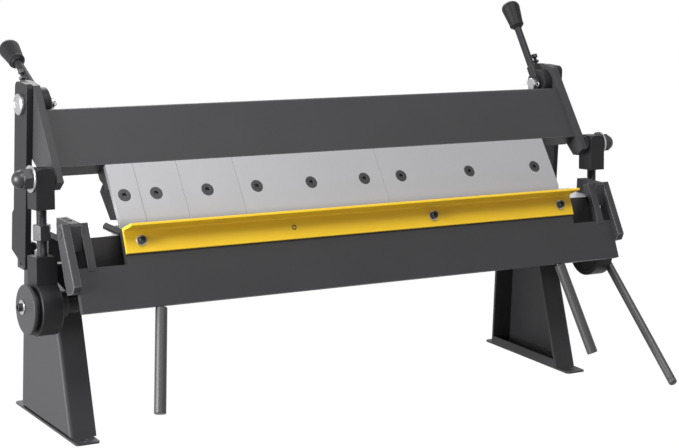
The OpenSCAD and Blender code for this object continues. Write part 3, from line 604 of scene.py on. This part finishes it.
# Finger screws
countersunk = {"head": 26, "shank": 12, "cone": 7, "length": 42, "key": 4.1, "seat": 66.5}
fingers = {"width": 1020, "shares": [0.054, 0.088, 0.118, 0.318, 0.422],
           "screws": [[0.42], [0.37], [0.42], [0.115, 0.49, 0.87], [0.106, 0.5, 0.893]]}
bm = bmesh.new()
start = -fingers["width"] / 2
for share, screws in zip(fingers["shares"], fingers["screws"]):
    for spot in screws:
        seat = onBeam @ shift(start + spot * share * fingers["width"], 0, countersunk["seat"]) @ spin(-90)
        r, shank, key = countersunk["head"] / 2, countersunk["shank"] / 2, countersunk["key"]
        end = countersunk["length"]
        turned(bm, [(end, shank - 1.2), (end - 1, shank), (countersunk["cone"], shank), (0.8, r), (0.15, r),
                    (-0.05, r - 0.5), (-0.05, key + 1.1), (0.5, key, "hex"), (key + 0.5, key, "hex"),
                    (key + 1.1, 1.5)], seat)
    start += share * fingers["width"]
shown("fingerScrews", bm, "clamping_beam", ["finger_screws"])

# Link studs, washers and domed nuts
stud = {"radius": 9.5, "bore": 9.54, "washer": 25, "washerThickness": 3.2, "flats": 36, "nut": 17, "in": 20.9,
        "collar": 17.5, "collarIn": 21, "collarOut": 26.75, "nutX": 66.95, "turn": 15}
for side in (-1, 1):
    name = sideName[side]
    seat = atSide(side) @ shift(0, places["studY"], places["studZ"]) @ alongX
    bm = bmesh.new()
    turned(bm, chamferedRod(stud["nutX"] - stud["in"], stud["radius"], 0.5, stud["in"]), seat)
    turned(bm, ringProfile(stud["collarIn"], stud["collarOut"], stud["bore"], stud["collar"], 0.6), seat,
           loop=True)
    shown(name + "LinkStud", bm, "clamping_beam", [name + "_link_stud"], "dark_steel")
    bm = bmesh.new()
    turned(bm, ringProfile(stud["nutX"] - stud["washerThickness"], stud["nutX"], stud["bore"],
                           stud["washer"], 0.5), seat, loop=True)
    shown(name + "LinkWasher", bm, "clamping_beam", [name + "_link_stud"])
    bm = bmesh.new()
    base, end, r = stud["nutX"], stud["nutX"] + stud["nut"], stud["flats"] / 2
    dome = [(end + r * 0.93 * sin(radians(a)), (r - 0.9) * cos(radians(a))) for a in range(0, 90, 10)]
    turned(bm, [(base, r - 0.5), (base + 0.9, r, "hex"), (end - 1.2, r, "hex"), (end, r - 0.6)] + dome,
           seat @ spin(stud["turn"], "Z"))
    shown(name + "LinkNut", bm, "clamping_beam", [name + "_link_stud"], "black_steel")

# Threaded link rods and rings
rod = {"radius": 10, "pitch": 2.5, "depth": 1.1, "start": 34, "nutAt": 84, "nut": 29, "flats": 30,
       "blockUp": 96, "intoBlock": 30, "x": 45.25}


def thread(bm, start, end, radius, pitch, depth, matrix, steps=24, perTurn=8):
    rings = []
    count = int((end - start) / pitch * perTurn)
    for j in range(count + 1):
        z = start + (end - start) * j / count
        ring = []
        for i in range(steps):
            share = (z / pitch - i / steps) % 1
            dip = 1 - min(1, abs(share - 0.5) * 2.6)
            fade = min(1, (z - start) / 1.5, (end - z) / 1.5)
            r = radius - depth * (1 - dip) * 0.9 - (1 - fade) * 0.8
            ring.append((r * cos(2 * pi * i / steps), r * sin(2 * pi * i / steps), z))
        rings.append(ring)
    loft(bm, rings, matrix)


ring = {"outer": 50, "inner": 38.4, "in": 25, "out": 65.5, "block": 44, "blockIn": 2, "blockInset": 0.2,
        "edge": 1.6}
for side in (-1, 1):
    name = sideName[side]
    bm = bmesh.new()
    down = onLink(side) @ shift(rod["x"], 0, 0)
    end = linkLength - rod["blockUp"] + rod["intoBlock"]
    thread(bm, rod["start"], end, rod["radius"], rod["pitch"], rod["depth"], down)
    a, r = rod["nutAt"], rod["flats"] / 2
    turned(bm, [(a, rod["radius"]), (a, r - 0.3), (a + 1.2, r, "hex"), (a + rod["nut"] - 1.2, r, "hex"),
                (a + rod["nut"], r - 0.3), (a + rod["nut"], rod["radius"])], down, loop=True)
    shown(name + "LinkRod", bm, name + "_link", [name + "_link_rod"])

    bm = bmesh.new()
    low = linkLength - ring["inner"] - ring["blockIn"]
    top, half = linkLength - rod["blockUp"], ring["block"] / 2
    outline = [(-half, top), (half, top), (half, low), (-half, low)]
    prism(bm, outline, ring["in"] + ring["blockInset"], ring["out"] - ring["blockInset"], outlineToSide)
    softEdges(bm, ring["edge"], steps=3)
    turned(bm, ringProfile(ring["in"], ring["out"], ring["inner"], ring["outer"], ring["edge"]),
           shift(0, 0, linkLength) @ alongX, 96, loop=True)
    shown(name + "LinkRing", bm, name + "_link", [name + "_link_ring"], matrix=onLink(side))
print("links made")

# Clamp shaft, eccentrics and handle
shaft = {"radius": 12.5, "capX": 74, "hubX": 66.5, "hub": 24, "hubRadius": 24, "eccentric": 38,
         "eccentricIn": 24.5, "cap": 46, "capThickness": 6.5}
atShaft = {side: atSide(side) @ shift(0, places["shaftY"], places["shaftZ"]) @ alongX for side in (-1, 1)}
bm = bmesh.new()
left, right = -places["half"] - shaft["capX"], places["half"] + shaft["hubX"] + shaft["hub"] - 1
turned(bm, chamferedRod(right - left, shaft["radius"], 1, left),
       shift(0, places["shaftY"] - places["footMiddle"], places["shaftZ"]) @ alongX, 64)
shown("clampShaft", bm, "clamp_shaft", ["clamp_shaft"])
for side in (-1, 1):
    bm = bmesh.new()
    out = shaft["capX"] if side < 0 else shaft["hubX"]
    turned(bm, chamferedRod(out - shaft["eccentricIn"], shaft["eccentric"], 0.8, shaft["eccentricIn"]),
           atSide(side) @ shift(0, ringY, ringZ) @ alongX, 96)
    shown(sideName[side] + "Eccentric", bm, "clamp_shaft", [sideName[side] + "_eccentric"])
bm = bmesh.new()
c, t, r = shaft["capX"], shaft["capThickness"], shaft["cap"]
turned(bm, [(c, 20), (c, r - 0.8), (c + 0.8, r), (c + t - 1.2, r), (c + t - 0.3, r - 0.9), (c + t, r - 2),
            (c + t, 20)], atSide(-1) @ shift(0, ringY, ringZ) @ alongX, 96)
shown("leftCap", bm, "clamp_shaft", ["left_cap"], "grey_paint")
endScrew = {"size": 10, "length": 3, "washer": 13.5, "washerBore": 5.1, "washerThickness": 2.5}
bm = bmesh.new()
blackScrews = bmesh.new()
for side, seat in ((-1, shaft["capX"] + shaft["capThickness"]), (1, shaft["hubX"] + shaft["hub"])):
    top = seat + endScrew["washerThickness"]
    turned(bm, ringProfile(seat, top, endScrew["washerBore"], endScrew["washer"], 0.5), atShaft[side], 48,
           loop=True)
    socketScrew(blackScrews, shift(0, 0, top), endScrew["size"], endScrew["length"], atShaft[side])
shown("endWashers", bm, "clamp_shaft", ["shaft_end_screws"])
shown("endScrews", blackScrews, "clamp_shaft", ["shaft_end_screws"], "black_steel")

bm = bmesh.new()
turned(bm, chamferedRod(shaft["hub"], shaft["hubRadius"], 1.5, shaft["hubX"]), atShaft[1], 64)
shown("handleHub", bm, "clamp_shaft", ["handle_hub"])
handle = {"radius": 9, "start": 14.5, "length": 355, "groove": 12}
bm = bmesh.new()
end, r = handle["length"], handle["radius"]
groove = end - handle["groove"]
tip = [(end - r * 0.55 + r * 0.55 * sin(radians(a)), r * 0.45 + r * 0.55 * cos(radians(a)))
       for a in range(0, 91, 15)]
turned(bm, [(handle["start"], r - 1), (handle["start"] + 1, r), (groove - 1.2, r), (groove - 0.6, r - 0.7),
            (groove + 0.6, r - 0.7), (groove + 1.2, r)] + tip,
       atSide(1) @ shift(shaft["hubX"] + shaft["hub"] / 2, places["shaftY"], places["shaftZ"])
       @ spin(90 + places["handleDip"]), 48)
shown("clampHandle", bm, "clamp_shaft", ["clamp_handle"])
print("clamp shaft made")

# Apron
bar = {"half": 515, "back": 12.6, "top": 2.5, "wall": 48, "lip": 42, "thickness": 5, "fillet": 4, "screwAt": 28,
       "screwIn": 32, "screws": 4, "sunkScrew": 1, "screwSize": 10, "screwLength": 6, "washer": 10,
       "washerBore": 5.1, "washerThickness": 2}
f0, d0, t = bar["back"], bar["top"], bar["thickness"]
outline = [(f0, d0 + bar["wall"] - 0.6), (f0, d0 + 1.5)] + bentCorner((f0 + 1.5, d0 + 1.5), 1.5, 180, 270, 3)
outline += [(f0 + bar["lip"] - 0.8, d0), (f0 + bar["lip"], d0 + 0.8), (f0 + bar["lip"], d0 + t - 0.8),
            (f0 + bar["lip"] - 0.8, d0 + t)]
outline += bentCorner((f0 + t + bar["fillet"], d0 + t + bar["fillet"]), bar["fillet"], 270, 180, 5)
outline += [(f0 + t, d0 + bar["wall"] - 0.8), (f0 + t - 0.8, d0 + bar["wall"]), (f0 + 0.6, d0 + bar["wall"])]
bm = bmesh.new()
prism(bm, outline, -bar["half"], bar["half"], outlineToSide)
softEdges(bm, 0.5, 60)
shown("apronAngleBar", bm, "apron", ["apron_angle_bar"], matrix=onApron)

washers, screws = bmesh.new(), bmesh.new()
for i in range(bar["screws"]):
    reach = bar["half"] - bar["screwIn"]
    x = -reach + i * 2 * reach / (bar["screws"] - 1)
    seat = onApron @ shift(x, f0 + t, bar["screwAt"]) @ spin(-90)
    deep, top = bar["screwLength"], bar["washerThickness"]
    if i == bar["sunkScrew"]:
        turned(screws, [(-deep, 3), (-deep, 5), (0.1, 5), (0.5, 4.6), (0.5, 3.2), (0.2, 2.6, "hex"),
                        (-2.6, 2.6, "hex"), (-2.8, 0.6)], seat)
    else:
        turned(washers, ringProfile(0, top, bar["washerBore"], bar["washer"], 0.4), seat, 48, loop=True)
        socketScrew(screws, shift(0, 0, top), bar["screwSize"], deep, seat)
shown("barWashers", washers, "apron", ["bar_screws"])
shown("barScrews", screws, "apron", ["bar_screws"], "black_steel")

hingePin = {"radius": 7, "in": 17, "out": 36, "cap": 8.8, "capThickness": 1.5, "chamfer": 0.8}
bm = bmesh.new()
for side in (-1, 1):
    hinge = atSide(side) @ shift(0, places["hingeY"], places["hingeZ"]) @ alongX
    r, out, cap, c = hingePin["radius"], hingePin["out"], hingePin["cap"], hingePin["chamfer"]
    end = out + hingePin["capThickness"]
    turned(bm, [(-hingePin["in"], r - c), (c - hingePin["in"], r), (out, r), (out, cap), (end - 0.5, cap),
                (end, cap - 0.6), (end, 3), (end - 0.4, 2)], hinge)
shown("hingePins", bm, "apron", ["hinge_pins"], "grey_paint")

# Outlines of the lugs, out from the apron's face and down from the hinge
lugs = {"outer": [(-11, -15), (13, -15), (27, 104), (16, 114), (-8, 112), (-12, 85), (-13, 0)],
        "outerSpan": (20, 36),
        "inner": [(-8, -15), (8, -15), (15, 56), (14, 75), (12.6, 75), (12.6, 69), (0.6, 69), (0.6, 14),
                  (-11, 3), (-11, -4)],
        "innerSpan": (-17.5, -1.5), "edge": 1.6}
for side in (-1, 1):
    whole = bmesh.new()
    for kind in ("outer", "inner"):
        bm = bmesh.new()
        prism(bm, lugs[kind], *lugs[kind + "Span"], outlineToSide)
        bmesh.ops.recalc_face_normals(bm, faces=bm.faces)
        softEdges(bm, lugs["edge"], steps=3)
        joined(whole, bm)
    hinge = atSide(side) @ shift(0, places["hingeY"], places["hingeZ"])
    shown(sideName[side] + "HingeLugs", whole, "apron", [sideName[side] + "_hinge_lugs"],
          matrix=hinge @ spin(180 - places["apronAngle"]))

grip = {"x": 459, "out": 6.6, "down": 150, "radius": 11, "length": 194, "splay": 10.8, "chamfer": 1.2,
        "stub": 4, "stubIn": 18, "base": 2.1}
for side in (-1, 1):
    bm = bmesh.new()
    base, end, r, stub = grip["base"], grip["length"] + grip["base"], grip["radius"], grip["stub"]
    turned(bm, [(-grip["stubIn"], stub - 0.5), (0.5 - grip["stubIn"], stub), (base, stub), (base, r - 1.5),
                (base + 1.5, r), (end - grip["chamfer"], r), (end, r - grip["chamfer"])],
           onApron @ shift(side * grip["x"], grip["out"], grip["down"]) @ spin(side * grip["splay"], "Y"), 64)
    name = sideName[side] + "_apron_handle"
    shown(camel(name), bm, "apron", [name])
print("apron made")

# Setback levers
lever = {"x": -11, "hub": 31.2, "in": 15, "out": 6.5, "bore": 12.6, "collar": 18, "collarIn": 22, "boss": 11,
         "bossEnd": 43, "rod": 8, "rodStart": 16.5, "rodStop": 31, "length": 204,
         "knob": 20.5, "knobLength": 62, "knobDome": 13, "knobRound": 9,
         "knobNeck": [(0, 8.2), (0, 10.6), (1, 11.6), (3.5, 13.4), (4.6, 15.4), (7, 16.2), (9, 15.8),
                      (11, 15.6)]}
adjuster = {"place": (13.5, 242.5, 646), "lean": 25.6, "radius": 4, "pitch": 1.25, "depth": 0.6, "head": 7,
            "nut": 6.7, "key": 3, "length": 21}
for side in (-1, 1):
    name = sideName[side]
    bm = bmesh.new()
    turned(bm, ringProfile(-lever["in"], lever["out"], lever["bore"], lever["hub"], 1.4), alongX, 96, loop=True)
    turned(bm, ringProfile(-lever["collarIn"], -lever["in"] + 0.5, lever["bore"], lever["collar"], 1),
           alongX, 64, loop=True)
    turned(bm, [(13.5, lever["boss"] - 1), (14.5, lever["boss"]), (lever["bossEnd"] - 1.5, lever["boss"]),
                (lever["bossEnd"], lever["boss"] - 1.5)], shift(lever["x"], 0, 0), 48)
    shown(name + "LeverHub", bm, name + "_lever", [name + "_lever_hub"], matrix=onLever(side))
    bm = bmesh.new()
    end, r = adjuster["length"], adjuster["head"]
    nut, key = adjuster["nut"], adjuster["key"]
    thread(bm, 0, end - 5, adjuster["radius"], adjuster["pitch"], adjuster["depth"], Matrix(), 16, 6)
    turned(bm, [(1.5, 3), (1.5, nut - 0.5), (2.3, nut, "hex"), (6, nut, "hex"), (6.8, nut - 0.5), (6.8, 3)],
           steps=48)
    turned(bm, [(end - 8, 3.8), (end - 7.6, r - 0.5), (end - 7, r, "knurl"), (end - 1, r, "knurl"),
                (end, r - 0.6), (end, key + 0.4), (end - 0.5, key, "hex"), (end - 3.5, key, "hex"),
                (end - 3.7, 0.8)], steps=48)
    shown(name + "Adjuster", bm, "clamping_beam", [name + "_end_plate"], "black_steel",
          atSide(side) @ shift(*adjuster["place"]) @ spin(-adjuster["lean"]))
    bm = bmesh.new()
    along = shift(lever["x"], 0, 0)
    length = lever["length"] - lever["rodStop"] - lever["rodStart"]
    turned(bm, chamferedRod(length, lever["rod"], 0.6, lever["rodStart"]), along, 48)
    shown(name + "LeverRod", bm, name + "_lever", [name + "_lever_rod"], "dark_steel", onLever(side))
    bm = bmesh.new()
    base, end, r = lever["length"] - lever["knobLength"], lever["length"], lever["knob"]
    deep, wide = lever["knobDome"], lever["knobRound"]
    neck = [(base + z, radius) for z, radius in lever["knobNeck"]]
    dome = [(end - deep + deep * sin(radians(a)), r - wide + wide * cos(radians(a))) for a in range(0, 91, 15)]
    turned(bm, neck + dome + [(end, 4)], along, 64)
    shown(name + "LeverKnob", bm, name + "_lever", [name + "_lever_knob"], matrix=onLever(side))
print("levers made")

# Camera, light and floor
view = {"place": (-1.8926, -3.1038, 1.0611), "yaw": 0.5568, "pitch": 0.1408, "roll": 0.0352, "focal": 1812.8,
        "width": 679, "centreDrop": 98.1, "sensor": 36}
camera = bpy.data.objects.new("camera", bpy.data.cameras.new("camera"))
bpy.context.scene.collection.objects.link(camera)
bpy.context.scene.camera = camera
camera.data.sensor_width = view["sensor"]
camera.data.lens = view["sensor"] * view["focal"] / view["width"]
camera.data.shift_y = -view["centreDrop"] / view["width"]
camera.matrix_world = (shift(*view["place"]) @ Matrix.Rotation(-view["yaw"], 4, "Z")
                       @ Matrix.Rotation(pi / 2 - view["pitch"], 4, "X")
                       @ Matrix.Rotation(view["roll"], 4, "Z"))

lampsAim = Vector((0, 0, 0.4))
lamps = {
    "leftLamp": {"place": (-4.2, -0.35, 0.9), "size": 1.8, "power": 360},
    "topLamp": {"place": (-0.4, -2.0, 4.2), "size": 2.4, "power": 190},
    "backLamp": {"place": (0.6, 3.0, 2.6), "size": 2.0, "power": 90},
}
for name, lamp in lamps.items():
    light = bpy.data.objects.new(name, bpy.data.lights.new(name, "AREA"))
    light.data.size, light.data.energy = lamp["size"], lamp["power"]
    light.location = lamp["place"]
    light.rotation_euler = (lampsAim - light.location).to_track_quat("-Z", "Y").to_euler()
    bpy.context.scene.collection.objects.link(light)

background = {"white": 1.0, "ambient": 0.12, "floorWhite": 1.03, "floorShare": 0.97, "floorTone": 0.3,
              "floorRadius": 60, "floorDepth": 0.01}
world = bpy.data.worlds.new("studio")
bpy.context.scene.world = world
sky = Finish(world)
level = sky.seenDirectly() * (background["white"] - background["ambient"]) + background["ambient"]
sky.node("OutputWorld", None, {0: sky.node("Background", None, {"Color": (1, 1, 1, 1), "Strength": level})})

bm = bmesh.new()
loft(bm, [ringPoints(z, background["floorRadius"], steps=96) for z in (0, -background["floorDepth"])])
floorMesh = bpy.data.meshes.new("floor")
bm.to_mesh(floorMesh)
floor = bpy.data.objects.new("floor", floorMesh)
bpy.context.scene.collection.objects.link(floor)
pale = Finish(bpy.data.materials.new("paleFloor"))
matt = pale.node("BsdfDiffuse", None, {"Color": (*[background["floorTone"]] * 3, 1)})
glow = pale.node("Emission", None, {"Color": (1, 1, 1, 1), "Strength": background["floorWhite"]})
shade = pale.node("MixShader", None, {0: pale.seenDirectly() * background["floorShare"], 1: matt, 2: glow})
pale.node("OutputMaterial", None, {0: shade})
floorMesh.materials.append(pale.owner)

bpy.context.scene.view_settings.view_transform = "Standard"
print("scene ready")
